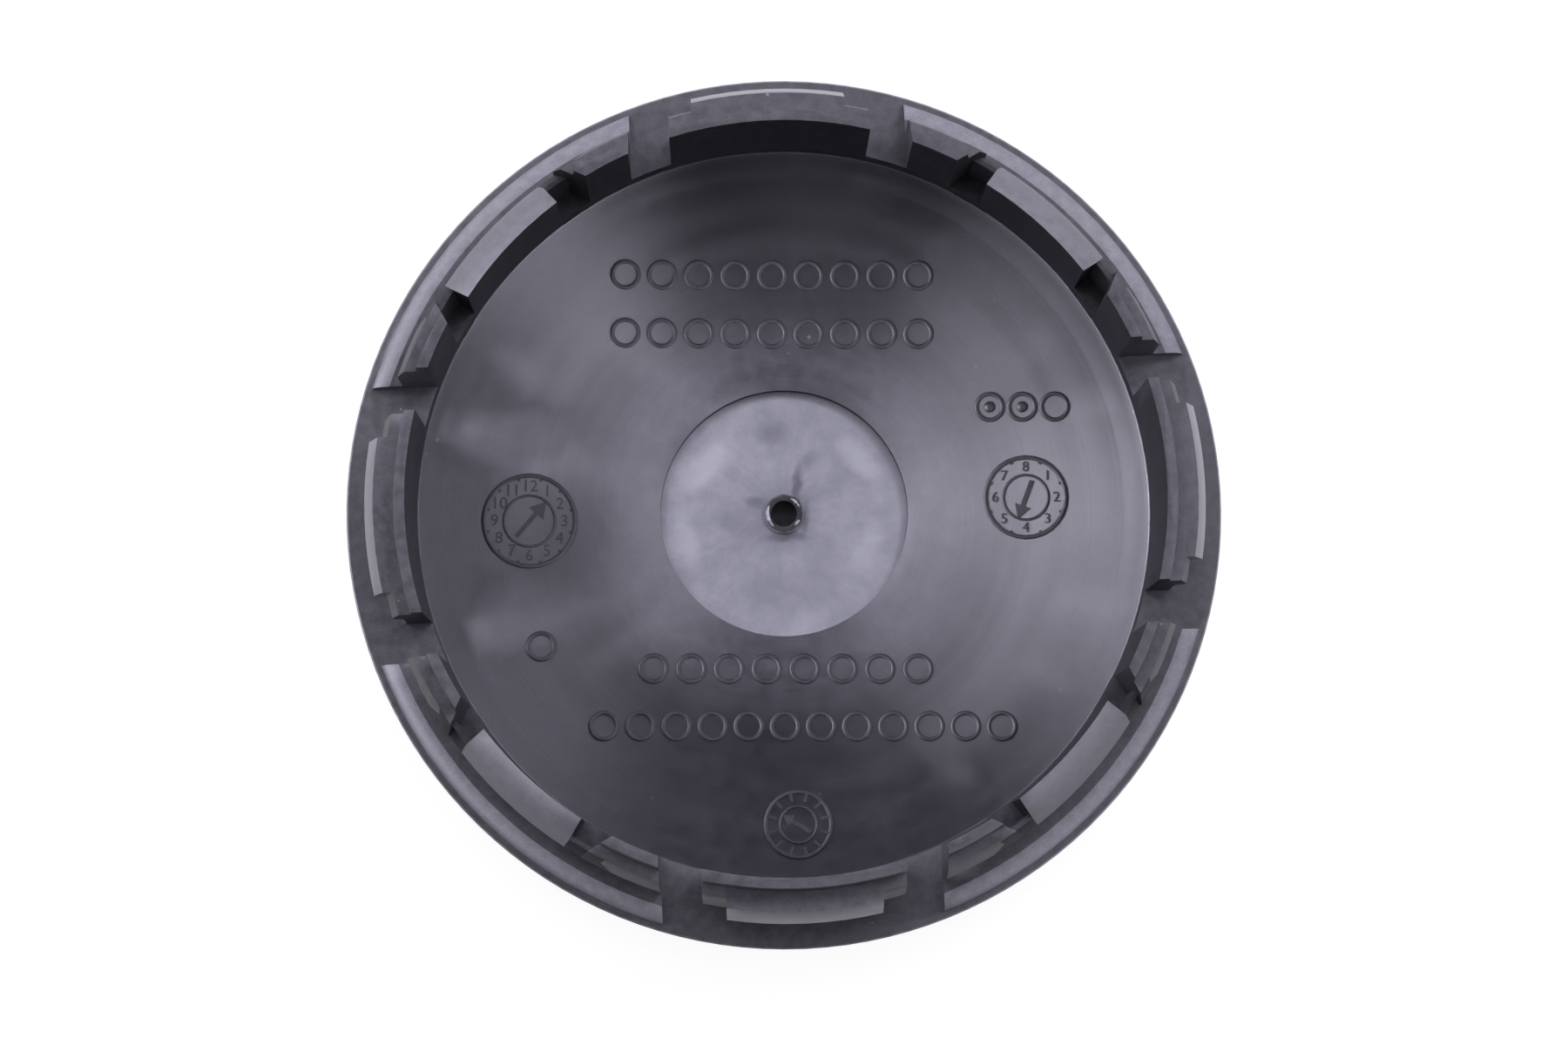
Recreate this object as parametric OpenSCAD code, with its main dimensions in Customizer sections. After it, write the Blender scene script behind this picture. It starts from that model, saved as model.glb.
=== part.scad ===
// Wheel centre cap, moulded in one piece: a domed disc with a rim flange, and on its back four snap
// clips with barbs, a broken ring wall between them, stop blocks and a round gate pad in the middle.
// The cap lies on its front with the clips upwards. The origin is under the middle of the front.

/* [Disc] */
// Outer diameter of the cap
cap_d = 56; // [52:0.5:62]
// Radius of the dome that the front follows
front_dome_r = 272; // [180:1:400]
// Thickness of the disc
disc_t = 1.9; // [1.6:0.1:2.4]
// Depth of the disc's back, at its edge, below the flange
dish_depth = 1.3; // [0.9:0.1:1.8]
// Width of the flat rim round the seat in the front
rim_face_w = 1.4; // [1:0.1:2]
// Depth of the seat in the front
seat_depth = 0.4; // [0.2:0.1:0.6]
// Radius of the rounded edge between the front and the side
front_edge_r = 1.1; // [0.6:0.1:1.4]

/* [Flange] */
// Width of the flange that seats on the wheel, outside the ring wall
flange_w = 2.35; // [2.1:0.05:2.6]
// Chamfer at the outer edge of the flange
flange_edge = 0.1; // [0.05:0.05:0.2]
// Width of the thin lip at the edge, outside the raised seats
edge_lip_w = 0.45; // [0.3:0.05:0.6]
// Width of the rounded shoulder of a raised seat, from its flat top out to the lip
shoulder_w = 1.1; // [0.8:0.05:1.3]
// Height of the raised seats between the clips, above the flange
shoulder_h = 0.7; // [0.4:0.05:0.9]

/* [Ring wall] */
// Thickness of the clips, the end walls and the blocks
wall_t = 2.05; // [1.8:0.05:2.5]
// Thickness of the ring wall behind the notches
ring_wall_t = 0.85; // [0.7:0.05:1.2]
// Height of the ring wall above the flange
ring_wall_h = 4.5; // [4.1:0.1:5]
// Width of the chamfer along the top of the ring wall
ring_chamfer_w = 0.55; // [0.3:0.05:0.65]
// Height of the chamfer along the top of the ring wall
ring_chamfer_h = 1.25; // [0.6:0.05:1.6]
// Radius of the fillet where the disc meets the wall
root_r = 0.15; // [0.1:0.05:0.5]

/* [Clips] */
// Width of a clip between its slots
clip_w = 12.6; // [12:0.1:13.5]
// Height of the clips and end walls above the flange
clip_h = 7.7; // [7.2:0.1:9]
// Width of the flat land on the tips
tip_land_w = 0.65; // [0.5:0.05:0.9]
// Width of the steep step outside the land
step_w = 0.15; // [0.05:0.05:0.3]
// Height of the ledge below the step, above the flange
ledge_h = 6.3; // [5.9:0.1:6.8]
// Width of each slot beside a clip
slot_w = 2.6; // [1.8:0.05:3]
// Width of a barb
barb_w = 9.7; // [8:0.1:11]
// Reach of the barbs outside the ring wall
barb_reach = 0.75; // [0.5:0.05:1]
// Height of the widest line of a barb above the flange
barb_h = 4.4; // [4:0.1:5]
// Height of the narrow upright face of a barb at its widest line
barb_land_h = 0.2; // [0.1:0.05:0.3]
// Width of the steep lead-in of a barb
barb_lead_w = 0.7; // [0.5:0.05:0.9]
// Depth of the necks, under the barbs, inside the ring wall's outer face
neck_step = 0.55; // [0.3:0.05:0.8]
// Height of the slanting catch face under a barb
catch_h = 0.9; // [0.6:0.1:1.2]
// Radius of the fillet at the foot of a clip
foot_r = 0.35; // [0.2:0.05:0.5]

/* [End walls and blocks] */
// Angle from the middle of a clip to the notch, at the inside of an end wall
notch_start = 29.5; // [28.5:0.5:30.5]
// Angle from the middle of a clip to the block behind the notch
block_start = 35; // [34.5:0.5:38]
// Angle by which an end wall grows longer from its inside to its outside, at the notch
notch_slant = 3; // [0:0.5:4]
// Width of the steep strip on the outside of the side lips and end walls, below the ledge
strip_w = 0.55; // [0.3:0.05:0.65]
// Height of the steep strip on the outside of the side lips and end walls
strip_h = 2; // [1.4:0.1:2.4]
// Height of a block at its inner edge, above the flange
block_h = 5.9; // [5.4:0.1:6.8]

/* [Gate pad] */
// Diameter of the round pad in the middle of the back
pad_d = 16; // [10:0.5:20]
// Depth of the pad below the disc
pad_depth = 0.5; // [0.3:0.1:0.8]
// Width of the collar round the gate mark
gate_collar_w = 0.45; // [0.3:0.05:0.6]
// Height of the collar above the pad
gate_collar_h = 0.2; // [0.1:0.05:0.4]
// Diameter of the hole that the gate leaves
gate_d = 1.7; // [1.4:0.1:2]
// Depth of the hole below the pad
gate_depth = 0.7; // [0.4:0.1:0.9]

/* [Hidden] */
$fn = 180;

cap_r = cap_d / 2;
seat_r = cap_r - front_edge_r - rim_face_w;
spigot_r = cap_r - flange_w;
inner_r = spigot_r - wall_t;
neck_r = spigot_r - neck_step;
barb_r = spigot_r + barb_reach;
edge_lip_r = cap_r - edge_lip_w;
shoulder_r = edge_lip_r - shoulder_w;
slot_side = clip_w / 2 + slot_w;
back_dome_r = front_dome_r - disc_t;
cut_margin = 0.5;

// Height of a sphere of radius dome_r, resting on the origin, at distance r from its axis
function sag(dome_r, r) = dome_r - sqrt(dome_r * dome_r - r * r);
function front_z(r) = sag(front_dome_r, r);
function back_z(r) = disc_t + sag(back_dome_r, r);
function on_circle(r, angle) = [r * cos(angle), r * sin(angle)];
function arc(centre, r, from, to, steps) =
    [for (i = [0:steps]) centre + on_circle(r, from + (to - from) * i / steps)];

rim_front_z = front_z(cap_r - front_edge_r) - seat_depth;
disc_edge_z = back_z(inner_r - root_r);
flange_z = disc_edge_z + dish_depth;
tip_z = flange_z + clip_h;
pad_z = disc_t - pad_depth;

// Outline of the disc and the flange, from the middle of the front round to the middle of the back
module disc_outline() {
    steps = 16;
    edge_steps = 8;
    polygon(concat(
        [for (i = [0:steps]) [seat_r * i / steps, front_z(seat_r * i / steps)]],
        [for (r = [seat_r, cap_r - front_edge_r]) [r, front_z(r) - seat_depth]],
        arc([cap_r - front_edge_r, rim_front_z + front_edge_r], front_edge_r, -90, 0, edge_steps),
        [
            [cap_r, flange_z - flange_edge],
            [cap_r - flange_edge, flange_z],
            [inner_r, flange_z],
        ],
        arc([inner_r - root_r, disc_edge_z + root_r], root_r, 0, -90, edge_steps),
        [for (i = [steps - 1:-1:0]) let (r = inner_r * i / steps) [r, back_z(r)]]
    ));
}

// Section of a raised seat on the flange: flat from the ring wall outwards, then a rounded shoulder
module seat_outline() {
    steps = 10;
    polygon(concat(
        [[spigot_r, flange_z - cut_margin], [spigot_r, flange_z + shoulder_h]],
        [for (i = [0:steps]) let (turn = 90 * i / steps)
            [shoulder_r + shoulder_w * sin(turn), flange_z + shoulder_h * cos(turn)]],
        [[edge_lip_r, flange_z - cut_margin]]
    ));
}

// Points of the tips' land, the step outside it and the ledge, out to radius r
function tip_points(r) = [
    [inner_r, flange_z - cut_margin],
    [inner_r, tip_z],
    [inner_r + tip_land_w, tip_z],
    [inner_r + tip_land_w + step_w, flange_z + ledge_h],
    [r, flange_z + ledge_h],
];

// Section of the clip body and of the end walls, with a steep strip below the ledge
module end_wall_outline() {
    polygon(concat(tip_points(spigot_r - strip_w), [
        [spigot_r, flange_z + ledge_h - strip_h],
        [spigot_r, flange_z - cut_margin],
    ]));
}

// Section of a barb, with its steep lead-in below the ledge
module barb_outline() {
    polygon(concat(tip_points(barb_r - barb_lead_w), [
        [barb_r, flange_z + barb_h],
        [barb_r, flange_z - cut_margin],
    ]));
}

// Space that is cut away outside the necks of the clips, down to the flange
module neck_cut_outline() {
    catch_z = flange_z + barb_h - barb_land_h;
    steps = 6;
    polygon(concat(
        [
            [barb_r + cut_margin, catch_z],
            [barb_r, catch_z],
            [neck_r, catch_z - catch_h],
        ],
        arc([neck_r + foot_r, flange_z + foot_r], foot_r, 180, 270, steps),
        [[barb_r + cut_margin, flange_z]]
    ));
}

// Points of the chamfer on the top of the ring wall, down to the outer foot
function ring_chamfer_points() = [
    [spigot_r - ring_chamfer_w, flange_z + ring_wall_h],
    [spigot_r, flange_z + ring_wall_h - ring_chamfer_h],
    [spigot_r, flange_z - cut_margin],
];

// Section of the ring wall that stands behind the notches
module ring_wall_outline() {
    polygon(concat([
        [spigot_r - ring_wall_t, flange_z - cut_margin],
        [spigot_r - ring_wall_t, flange_z + ring_wall_h],
    ], ring_chamfer_points()));
}

// Section of a block, with its top sloping outwards to the chamfer of the ring wall
module block_outline() {
    polygon(concat([
        [inner_r, flange_z - cut_margin],
        [inner_r, flange_z + block_h],
    ], ring_chamfer_points()));
}

// Straight bar across the rim on the +X side, width wide and as tall as the cap
module bar(width) {
    translate([0, -width / 2, 0])
        cube([cap_d, width, tip_z + cut_margin]);
}

// Corner between two neighbouring clips, outside the slots
module corner() {
    translate([slot_side, slot_side, 0])
        cube([cap_d, cap_d, tip_z + cut_margin]);
}

// Points of a wedge's side, through one angle at the inside of the wall and another at its outside
function side_points(inside, outside) =
    let (
        start = on_circle(inner_r, inside),
        across = on_circle(spigot_r, outside) - start,
        reach = 3
    )
    [start - across, start + reach * across];

// Wedge between two angles at the inside of the wall, whose sides turn by the given angles outside
module wedge(from, to, from_slant, to_slant) {
    from_side = side_points(from, from + from_slant);
    to_side = side_points(to, to + to_slant);
    linear_extrude(tip_z + cut_margin)
        polygon([from_side[0], from_side[1], to_side[1], to_side[0]]);
}

module quarters() {
    for (turn = [0:90:270])
        rotate([0, 0, turn])
            children();
}

// Disc with its flange, and the raised seats on the flange between the clips
module disc_and_flange() {
    difference() {
        rotate_extrude() disc_outline();
        translate([0, 0, pad_z])
            cylinder(d = pad_d, h = pad_depth + cut_margin);
    }
    quarters()
        intersection() {
            rotate_extrude() seat_outline();
            corner();
        }
}

// Snap clip on the +X side: a body with side lips, a barb in its middle and a thinner neck
module clip() {
    difference() {
        union() {
            intersection() {
                rotate_extrude() end_wall_outline();
                bar(clip_w);
            }
            intersection() {
                rotate_extrude() barb_outline();
                bar(barb_w);
            }
        }
        rotate_extrude() neck_cut_outline();
    }
}

// Two end walls, a block between them and the ring wall behind the notches, between two clips
module corner_walls() {
    intersection() {
        rotate_extrude() end_wall_outline();
        corner();
        union() {
            wedge(0, notch_start, 0, notch_slant);
            wedge(90 - notch_start, 90, -notch_slant, 0);
        }
    }
    intersection() {
        rotate_extrude() block_outline();
        wedge(block_start, 90 - block_start, 0, 0);
    }
    intersection() {
        rotate_extrude() ring_wall_outline();
        corner();
    }
}

module cap() {
    color([0.16, 0.16, 0.19])
        difference() {
            union() {
                disc_and_flange();
                translate([0, 0, pad_z])
                    cylinder(d = gate_d + 2 * gate_collar_w, h = gate_collar_h);
                quarters() {
                    clip();
                    corner_walls();
                }
            }
            translate([0, 0, pad_z - gate_depth])
                cylinder(d = gate_d, h = gate_depth + gate_collar_h + cut_margin);
        }
}

cap();
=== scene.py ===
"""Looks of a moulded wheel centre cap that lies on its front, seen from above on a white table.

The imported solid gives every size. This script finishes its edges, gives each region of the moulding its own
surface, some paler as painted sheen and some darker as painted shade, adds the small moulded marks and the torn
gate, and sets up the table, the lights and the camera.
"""

from __future__ import annotations

import logging
import math
from dataclasses import dataclass, field
from enum import Enum
from typing import Iterable, Sequence

import bmesh
import bpy
from mathutils import Matrix, Vector


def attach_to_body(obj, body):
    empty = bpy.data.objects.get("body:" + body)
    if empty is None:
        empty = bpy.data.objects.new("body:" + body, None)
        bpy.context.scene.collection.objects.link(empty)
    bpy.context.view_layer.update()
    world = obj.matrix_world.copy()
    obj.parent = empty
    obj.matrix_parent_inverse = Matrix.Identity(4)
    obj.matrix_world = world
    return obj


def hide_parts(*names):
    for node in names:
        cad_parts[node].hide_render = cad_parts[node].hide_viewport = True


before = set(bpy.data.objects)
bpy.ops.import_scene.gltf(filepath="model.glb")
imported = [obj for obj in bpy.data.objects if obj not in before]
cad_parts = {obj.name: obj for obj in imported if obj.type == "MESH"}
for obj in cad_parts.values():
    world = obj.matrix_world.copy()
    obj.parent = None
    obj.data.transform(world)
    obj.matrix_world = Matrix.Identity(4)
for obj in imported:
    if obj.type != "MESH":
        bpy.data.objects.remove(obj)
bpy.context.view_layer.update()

MM = 0.001
BODY = "root"
FLOAT, VECTOR = "NodeSocketFloat", "NodeSocketVector"

Colour = tuple[float, float, float, float]
Inputs = dict[str | int, object]
Socket = bpy.types.NodeSocket
Outputs = bpy.types.NodeOutputs
Tree = bpy.types.NodeTree
Node = bpy.types.Node
BMesh = bmesh.types.BMesh
Mesh = bpy.types.Mesh
Object = bpy.types.Object
Material = bpy.types.Material

# Place to the right and above in the picture, half length, half width, turn from upright, and strength.
Blot = tuple[float, float, float, float, float, float]

log = logging.getLogger("centre_cap")


class Region(Enum):
    """A region of the moulding with a surface of its own; the value is its material index."""

    WALLS = 0
    DISC = 1
    PAD = 2
    FRONT = 3
    LEAD_IN = 4
    SLOPE = 5
    SEAT = 6
    RECESS = 7
    GATE = 8
    BLOCK = 9


@dataclass(frozen=True)
class CapSizes:
    """Sizes of the cap, in millimetres, as the part's source has them.

    Attributes:
        cap_r: Outer radius.
        inner_r: Inner radius of the ring of walls.
        spigot_r: Outer radius of the ring of walls.
        root_r: Fillet between the disc and the walls.
        dish_r: Radius of the dome that the back of the disc follows.
        disc_t: Thickness of the disc.
        flange_z: Height of the flange's face.
        notch_turn: Angle from the middle of the nearest clip to the middle of a notch, in degrees.
        notch_half: Half the angle that a notch takes, in degrees.
        notch_depth: Height above the flange up to which a face can belong to a notch.
        pad_r: Radius of the gate pad.
        gate_r: Radius of the hole in the gate pad.
        collar_r: Outer radius of the collar round the hole.
        collar_z: Height of the collar's top.
    """

    cap_r: float = 28.0
    inner_r: float = 23.6
    spigot_r: float = 25.65
    root_r: float = 0.15
    dish_r: float = 270.1
    disc_t: float = 1.9
    flange_z: float = 4.2199
    notch_turn: float = 32.6
    notch_half: float = 2.8
    notch_depth: float = 7.0
    pad_r: float = 8.0
    gate_r: float = 0.85
    collar_r: float = 1.3
    collar_z: float = 1.6

    def dish_z(self, r: float) -> float:
        """Height of the disc's back at distance r from the axis, in millimetres."""
        return self.disc_t + self.dish_r - math.sqrt(self.dish_r**2 - r**2)


@dataclass(frozen=True)
class PhotoView:
    """How the photograph was taken, in millimetres and degrees.

    Attributes:
        roll: Turn of the picture's upward direction from +Y towards +X.
        height: Height of the lens above the flange.
        below: Distance of the lens from the cap's axis towards the bottom of the picture.
        left: Distance of the lens from the cap's axis towards the left of the picture.
        aim_down: Distance of the aimed point below the cap's axis in the picture.
        aim_right: Distance of the aimed point to the right of the cap's axis.
        lens: Focal length.
        sensor: Width of the sensor.
        clip: Nearest and farthest distance that the camera sees, in metres.
    """

    roll: float = 2.65
    height: float = 220.0
    below: float = 26.2
    left: float = 3.5
    aim_down: float = 0.88
    aim_right: float = -0.045
    lens: float = 79.5
    sensor: float = 36.0
    clip: tuple[float, float] = (0.01, 10.0)

    def clock(self, angle: float) -> Vector:
        """Direction on the table at an angle in degrees, clockwise from the top of the picture."""
        turn = math.radians(angle + self.roll)
        return Vector((math.sin(turn), math.cos(turn), 0.0))

    def place(self, right: float, up: float) -> Vector:
        """Point on the table from its distances to the right of and above the cap's axis in the picture."""
        return self.clock(90.0) * right + self.clock(0.0) * up

    def turn(self) -> Matrix:
        """Turn from the cap's own directions to those of the picture."""
        return Matrix.Rotation(-math.radians(self.roll), 4, "Z")


SIZES = CapSizes()
VIEW = PhotoView()


# Node helpers


def grey(value: float, blue: float = 1.22) -> Colour:
    """A dark grey with a touch of blue, as the nylon has it."""
    return (value, value * 0.98, value * blue, 1.0)


WHITE: Colour = (1.0, 1.0, 1.0, 1.0)
# The cool colour of the lights, painted into the sheen of every nylon finish as its specular tint.
COOL_LIGHT_TINT: Colour = (0.86, 0.83, 1.0, 1.0)
DUST = grey(0.3, 1.0)


class NodeSheet:
    """A node tree with short methods that add and link its nodes."""

    def __init__(self, tree: Tree) -> None:
        """Takes the tree and empties it."""
        self.tree = tree
        self.tree.nodes.clear()

    def feed(self, node: Node, inputs: Inputs) -> None:
        """Fills a node's inputs.

        Args:
            node: The node.
            inputs: For each input, by name or number, a value or the output socket that feeds it.
        """
        for name, value in inputs.items():
            if isinstance(value, Socket):
                self.tree.links.new(value, node.inputs[name])
            else:
                node.inputs[name].default_value = value

    def add(self, kind: str, inputs: Inputs | None = None, **settings: object) -> Node:
        """Adds a node.

        Args:
            kind: The node's type name.
            inputs: For each input, by name or number, a value or the output socket that feeds it.
            settings: Properties to set on the node.

        Returns:
            The new node.
        """
        node = self.tree.nodes.new(kind)
        for name, value in settings.items():
            setattr(node, name, value)
        self.feed(node, inputs or {})
        return node

    def use(self, group: Tree, inputs: Inputs) -> Outputs:
        """Places a shader node group with its inputs, and gives its outputs."""
        return self.add("ShaderNodeGroup", inputs, node_tree=group).outputs

    def math(self, operation: str, *values: object) -> Socket:
        """Result of a Math node on one to three values or sockets."""
        return self.add("ShaderNodeMath", dict(enumerate(values)), operation=operation).outputs[0]

    def vector(self, operation: str, *values: object) -> Socket:
        """Result of a Vector Math node on its values or sockets."""
        return self.add("ShaderNodeVectorMath", dict(enumerate(values)), operation=operation).outputs[0]

    def total(self, first: Socket, first_share: float, second: Socket, second_share: float) -> Socket:
        """Sum of two values, each times its share."""
        shares = self.math("MULTIPLY", first, first_share), self.math("MULTIPLY", second, second_share)
        return self.math("ADD", *shares)

    def radius(self, x: Socket, y: Socket) -> Socket:
        """Distance from the origin of a point with these two coordinates."""
        return self.math("SQRT", self.math("ADD", self.math("MULTIPLY", x, x), self.math("MULTIPLY", y, y)))

    def ramp(
        self, value: object, from_min: object, from_max: object, to_min: float = 0.0, to_max: float = 1.0
    ) -> Socket:
        """Maps a value smoothly from one range to another, and holds it at the ends.

        Args:
            value: The value.
            from_min: Start of its range.
            from_max: End of its range.
            to_min: What the start becomes.
            to_max: What the end becomes.

        Returns:
            The mapped value.
        """
        inputs = dict(enumerate((value, from_min, from_max, to_min, to_max)))
        return self.add("ShaderNodeMapRange", inputs, interpolation_type="SMOOTHSTEP").outputs[0]

    def blend(self, factor: object, first: object, second: object) -> Socket:
        """Colour between two colours, by a factor."""
        return self.add("ShaderNodeMix", {0: factor, 6: first, 7: second}, data_type="RGBA").outputs[2]

    def noise(self, place: Socket, scale: object, detail: float = 3.0, rough: float = 0.5) -> Socket:
        """Value of a noise texture at a place; the scale is in waves per metre."""
        inputs = {"Vector": place, "Scale": scale, "Detail": detail, "Roughness": rough}
        return self.add("ShaderNodeTexNoise", inputs).outputs[0]

    def line_noise(self, step: Socket, rough: float) -> Socket:
        """Value of a noise texture along a line."""
        inputs = {"W": step, "Scale": 1.0, "Detail": 2.0, "Roughness": rough}
        return self.add("ShaderNodeTexNoise", inputs, noise_dimensions="1D").outputs[0]

    def bump(self, height: Socket, depth: float) -> Socket:
        """Normal of a surface with a relief of a depth in metres."""
        return self.add("ShaderNodeBump", {"Height": height, "Strength": 1.0, "Distance": depth}).outputs[0]

    def skin(self, inputs: Inputs) -> None:
        """Ends a material with its Principled shader."""
        shader = self.add("ShaderNodeBsdfPrincipled", inputs)
        self.add("ShaderNodeOutputMaterial", {"Surface": shader.outputs[0]})


# A group with a sheet to add its nodes with, the sockets of its inputs and its output node.
GroupParts = tuple[Tree, NodeSheet, Outputs, Node]


def new_material(name: str) -> tuple[Material, NodeSheet]:
    """Makes an empty node material.

    Args:
        name: Name of the material.

    Returns:
        The material and a sheet to add its nodes with.
    """
    material = bpy.data.materials.new(name)
    material.use_nodes = True
    return material, NodeSheet(material.node_tree)


def new_group(
    name: str, kind: str, inputs: dict[str, float | str], outputs: dict[str, str]
) -> GroupParts:
    """Makes an empty node group with named sockets.

    Args:
        name: Name of the group.
        kind: Type name of the tree.
        inputs: For each input its socket type, or the default value of a plain number.
        outputs: For each output its socket type.

    Returns:
        The group and what its nodes are added with.
    """
    group = bpy.data.node_groups.new(name, kind)
    for label, value in inputs.items():
        typed = isinstance(value, str)
        socket_type = value if typed else FLOAT
        socket = group.interface.new_socket(name=label, in_out="INPUT", socket_type=socket_type)
        if not typed:
            socket.default_value = value
    for label, socket_type in outputs.items():
        group.interface.new_socket(name=label, in_out="OUTPUT", socket_type=socket_type)
    sheet = NodeSheet(group)
    return group, sheet, sheet.add("NodeGroupInput").outputs, sheet.add("NodeGroupOutput")


class SurfaceEffects:
    """Shader node groups that the cap's finishes share."""

    def __init__(self) -> None:
        """Builds every group once."""
        self.grain = self.build_grain()
        self.rings = self.build_rings()
        self.dust = self.build_dust()
        self.mottle = self.build_mottle()
        self.blot = self.build_blot()

    @staticmethod
    def effect(name: str, inputs: dict[str, float | str], *outputs: str) -> GroupParts:
        """Makes an empty group that takes a place and puts out numbers.

        Args:
            name: Name of the group.
            inputs: Its inputs beside the place, as new_group takes them.
            outputs: Names of its outputs.

        Returns:
            What new_group returns.
        """
        return new_group(name, "ShaderNodeTree", {"Place": VECTOR, **inputs}, dict.fromkeys(outputs, FLOAT))

    def build_grain(self) -> Tree:
        """Builds the fine grain of glass-filled nylon, which varies over a tenth of a millimetre.

        Returns:
            A group that puts out a height and a tone.
        """
        group, sheet, given, made = self.effect("nylon grain", {"Scale": 9000.0}, "Height", "Tone")
        coarser = sheet.math("MULTIPLY", given["Scale"], 0.16)
        fine = sheet.noise(given["Place"], given["Scale"], detail=2.0, rough=0.6)
        coarse = sheet.noise(given["Place"], coarser, detail=3.0, rough=0.55)
        tone = sheet.ramp(sheet.total(fine, 0.4, coarse, 0.6), 0.3, 0.7)
        sheet.feed(made, {"Height": sheet.total(fine, 0.7, coarse, 0.5), "Tone": tone})
        return group

    def build_rings(self) -> Tree:
        """Builds the circles that the turned mould left round the axis.

        Returns:
            A group that puts out a height and a tone along the radius, and the radius.
        """
        group, sheet, given, made = self.effect("turned circles", {"Pitch": 0.0003}, "Height", "Tone", "Radius")
        parts = sheet.add("ShaderNodeSeparateXYZ", {0: given["Place"]}).outputs
        radius = sheet.radius(parts[0], parts[1])
        step = sheet.math("DIVIDE", radius, given["Pitch"])
        fine = sheet.line_noise(step, rough=0.6)
        broad = sheet.line_noise(sheet.math("MULTIPLY", step, 0.17), rough=0.5)
        tone = sheet.ramp(sheet.total(fine, 0.35, broad, 0.65), 0.32, 0.68)
        height = sheet.math("MULTIPLY_ADD", broad, 1.4, fine)
        sheet.feed(made, {"Height": height, "Tone": tone, "Radius": radius})
        return group

    def build_dust(self) -> Tree:
        """Builds small pale specks of dust.

        Returns:
            A group that puts out their mask.
        """
        group, sheet, given, made = self.effect("dust specks", {"Scale": 1400.0, "Amount": 0.05}, "Mask")
        cells = sheet.add(
            "ShaderNodeTexVoronoi", {"Vector": given["Place"], "Scale": given["Scale"], "Randomness": 1.0}
        ).outputs
        chance = sheet.add("ShaderNodeSeparateColor", {0: cells["Color"]}).outputs
        chosen = sheet.math("LESS_THAN", chance[0], given["Amount"])
        speck_r = sheet.math("MULTIPLY_ADD", chance[1], 0.12, 0.04)
        near = sheet.math("LESS_THAN", cells["Distance"], speck_r)
        sheet.feed(made, {"Mask": sheet.math("MULTIPLY", chosen, near)})
        return group

    def build_mottle(self) -> Tree:
        """Builds broad cloudy patches, stretched along the flow of the plastic from the gate.

        Returns:
            A group that puts out their mask.
        """
        group, sheet, given, made = self.effect("flow mottle", {"Scale": 350.0, "Contrast": 0.2}, "Mask")
        parts = sheet.add("ShaderNodeSeparateXYZ", {0: given["Place"]}).outputs
        angle = sheet.math("ARCTAN2", parts[1], parts[0])
        outwards = sheet.math("MULTIPLY", sheet.radius(parts[0], parts[1]), 60.0)
        around = sheet.add(
            "ShaderNodeCombineXYZ", {0: sheet.math("COSINE", angle), 1: sheet.math("SINE", angle), 2: outwards}
        )
        rays = sheet.noise(around.outputs[0], 3.2, rough=0.6)
        cloud = sheet.noise(given["Place"], given["Scale"], detail=4.0, rough=0.6)
        low = sheet.math("SUBTRACT", 0.5, given["Contrast"])
        high = sheet.math("ADD", 0.5, given["Contrast"])
        sheet.feed(made, {"Mask": sheet.ramp(sheet.total(rays, 0.45, cloud, 0.55), low, high)})
        return group

    def build_blot(self) -> Tree:
        """Builds one soft oval blot with a ragged edge.

        Returns:
            A group that puts out its mask.
        """
        sizes = {"Middle": VECTOR, "Turn": 0.0, "Length": 0.001, "Width": 0.0005}
        group, sheet, given, made = self.effect("soft blot", sizes, "Mask")
        waves = {"Vector": given["Place"], "Scale": 900.0, "Detail": 3.0}
        ragged = sheet.add("ShaderNodeTexNoise", waves).outputs["Color"]
        shift = sheet.vector("SUBTRACT", ragged, (0.5, 0.5, 0.5))
        bent = sheet.vector("MULTIPLY_ADD", shift, (0.0008, 0.0008, 0.0), given["Place"])
        near = sheet.vector("SUBTRACT", bent, given["Middle"])
        turn = {"Vector": near, "Angle": given["Turn"]}
        turned = sheet.add("ShaderNodeVectorRotate", turn, rotation_type="Z_AXIS")
        parts = sheet.add("ShaderNodeSeparateXYZ", {0: turned.outputs[0]}).outputs
        along = sheet.math("DIVIDE", parts[1], given["Length"])
        across = sheet.math("DIVIDE", parts[0], given["Width"])
        sheet.feed(made, {"Mask": sheet.ramp(sheet.radius(along, across), 0.2, 1.3, 1.0, 0.0)})
        return group

    def masks(self, sheet: NodeSheet, place: Socket, blots: Sequence[Blot]) -> list[tuple[Socket, float]]:
        """Adds blots to a material.

        Args:
            sheet: The material's nodes.
            place: Where on the piece a point is.
            blots: The blots, in millimetres and degrees.

        Returns:
            The mask and the strength of each.
        """
        masks = []
        for right, up, length, width, turn, strength in blots:
            inputs = {
                "Place": place, "Middle": VIEW.place(right, up) * MM, "Turn": math.radians(turn + VIEW.roll),
                "Length": length * MM, "Width": width * MM,
            }
            masks.append((sheet.use(self.blot, inputs)["Mask"], strength))
        return masks


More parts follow.
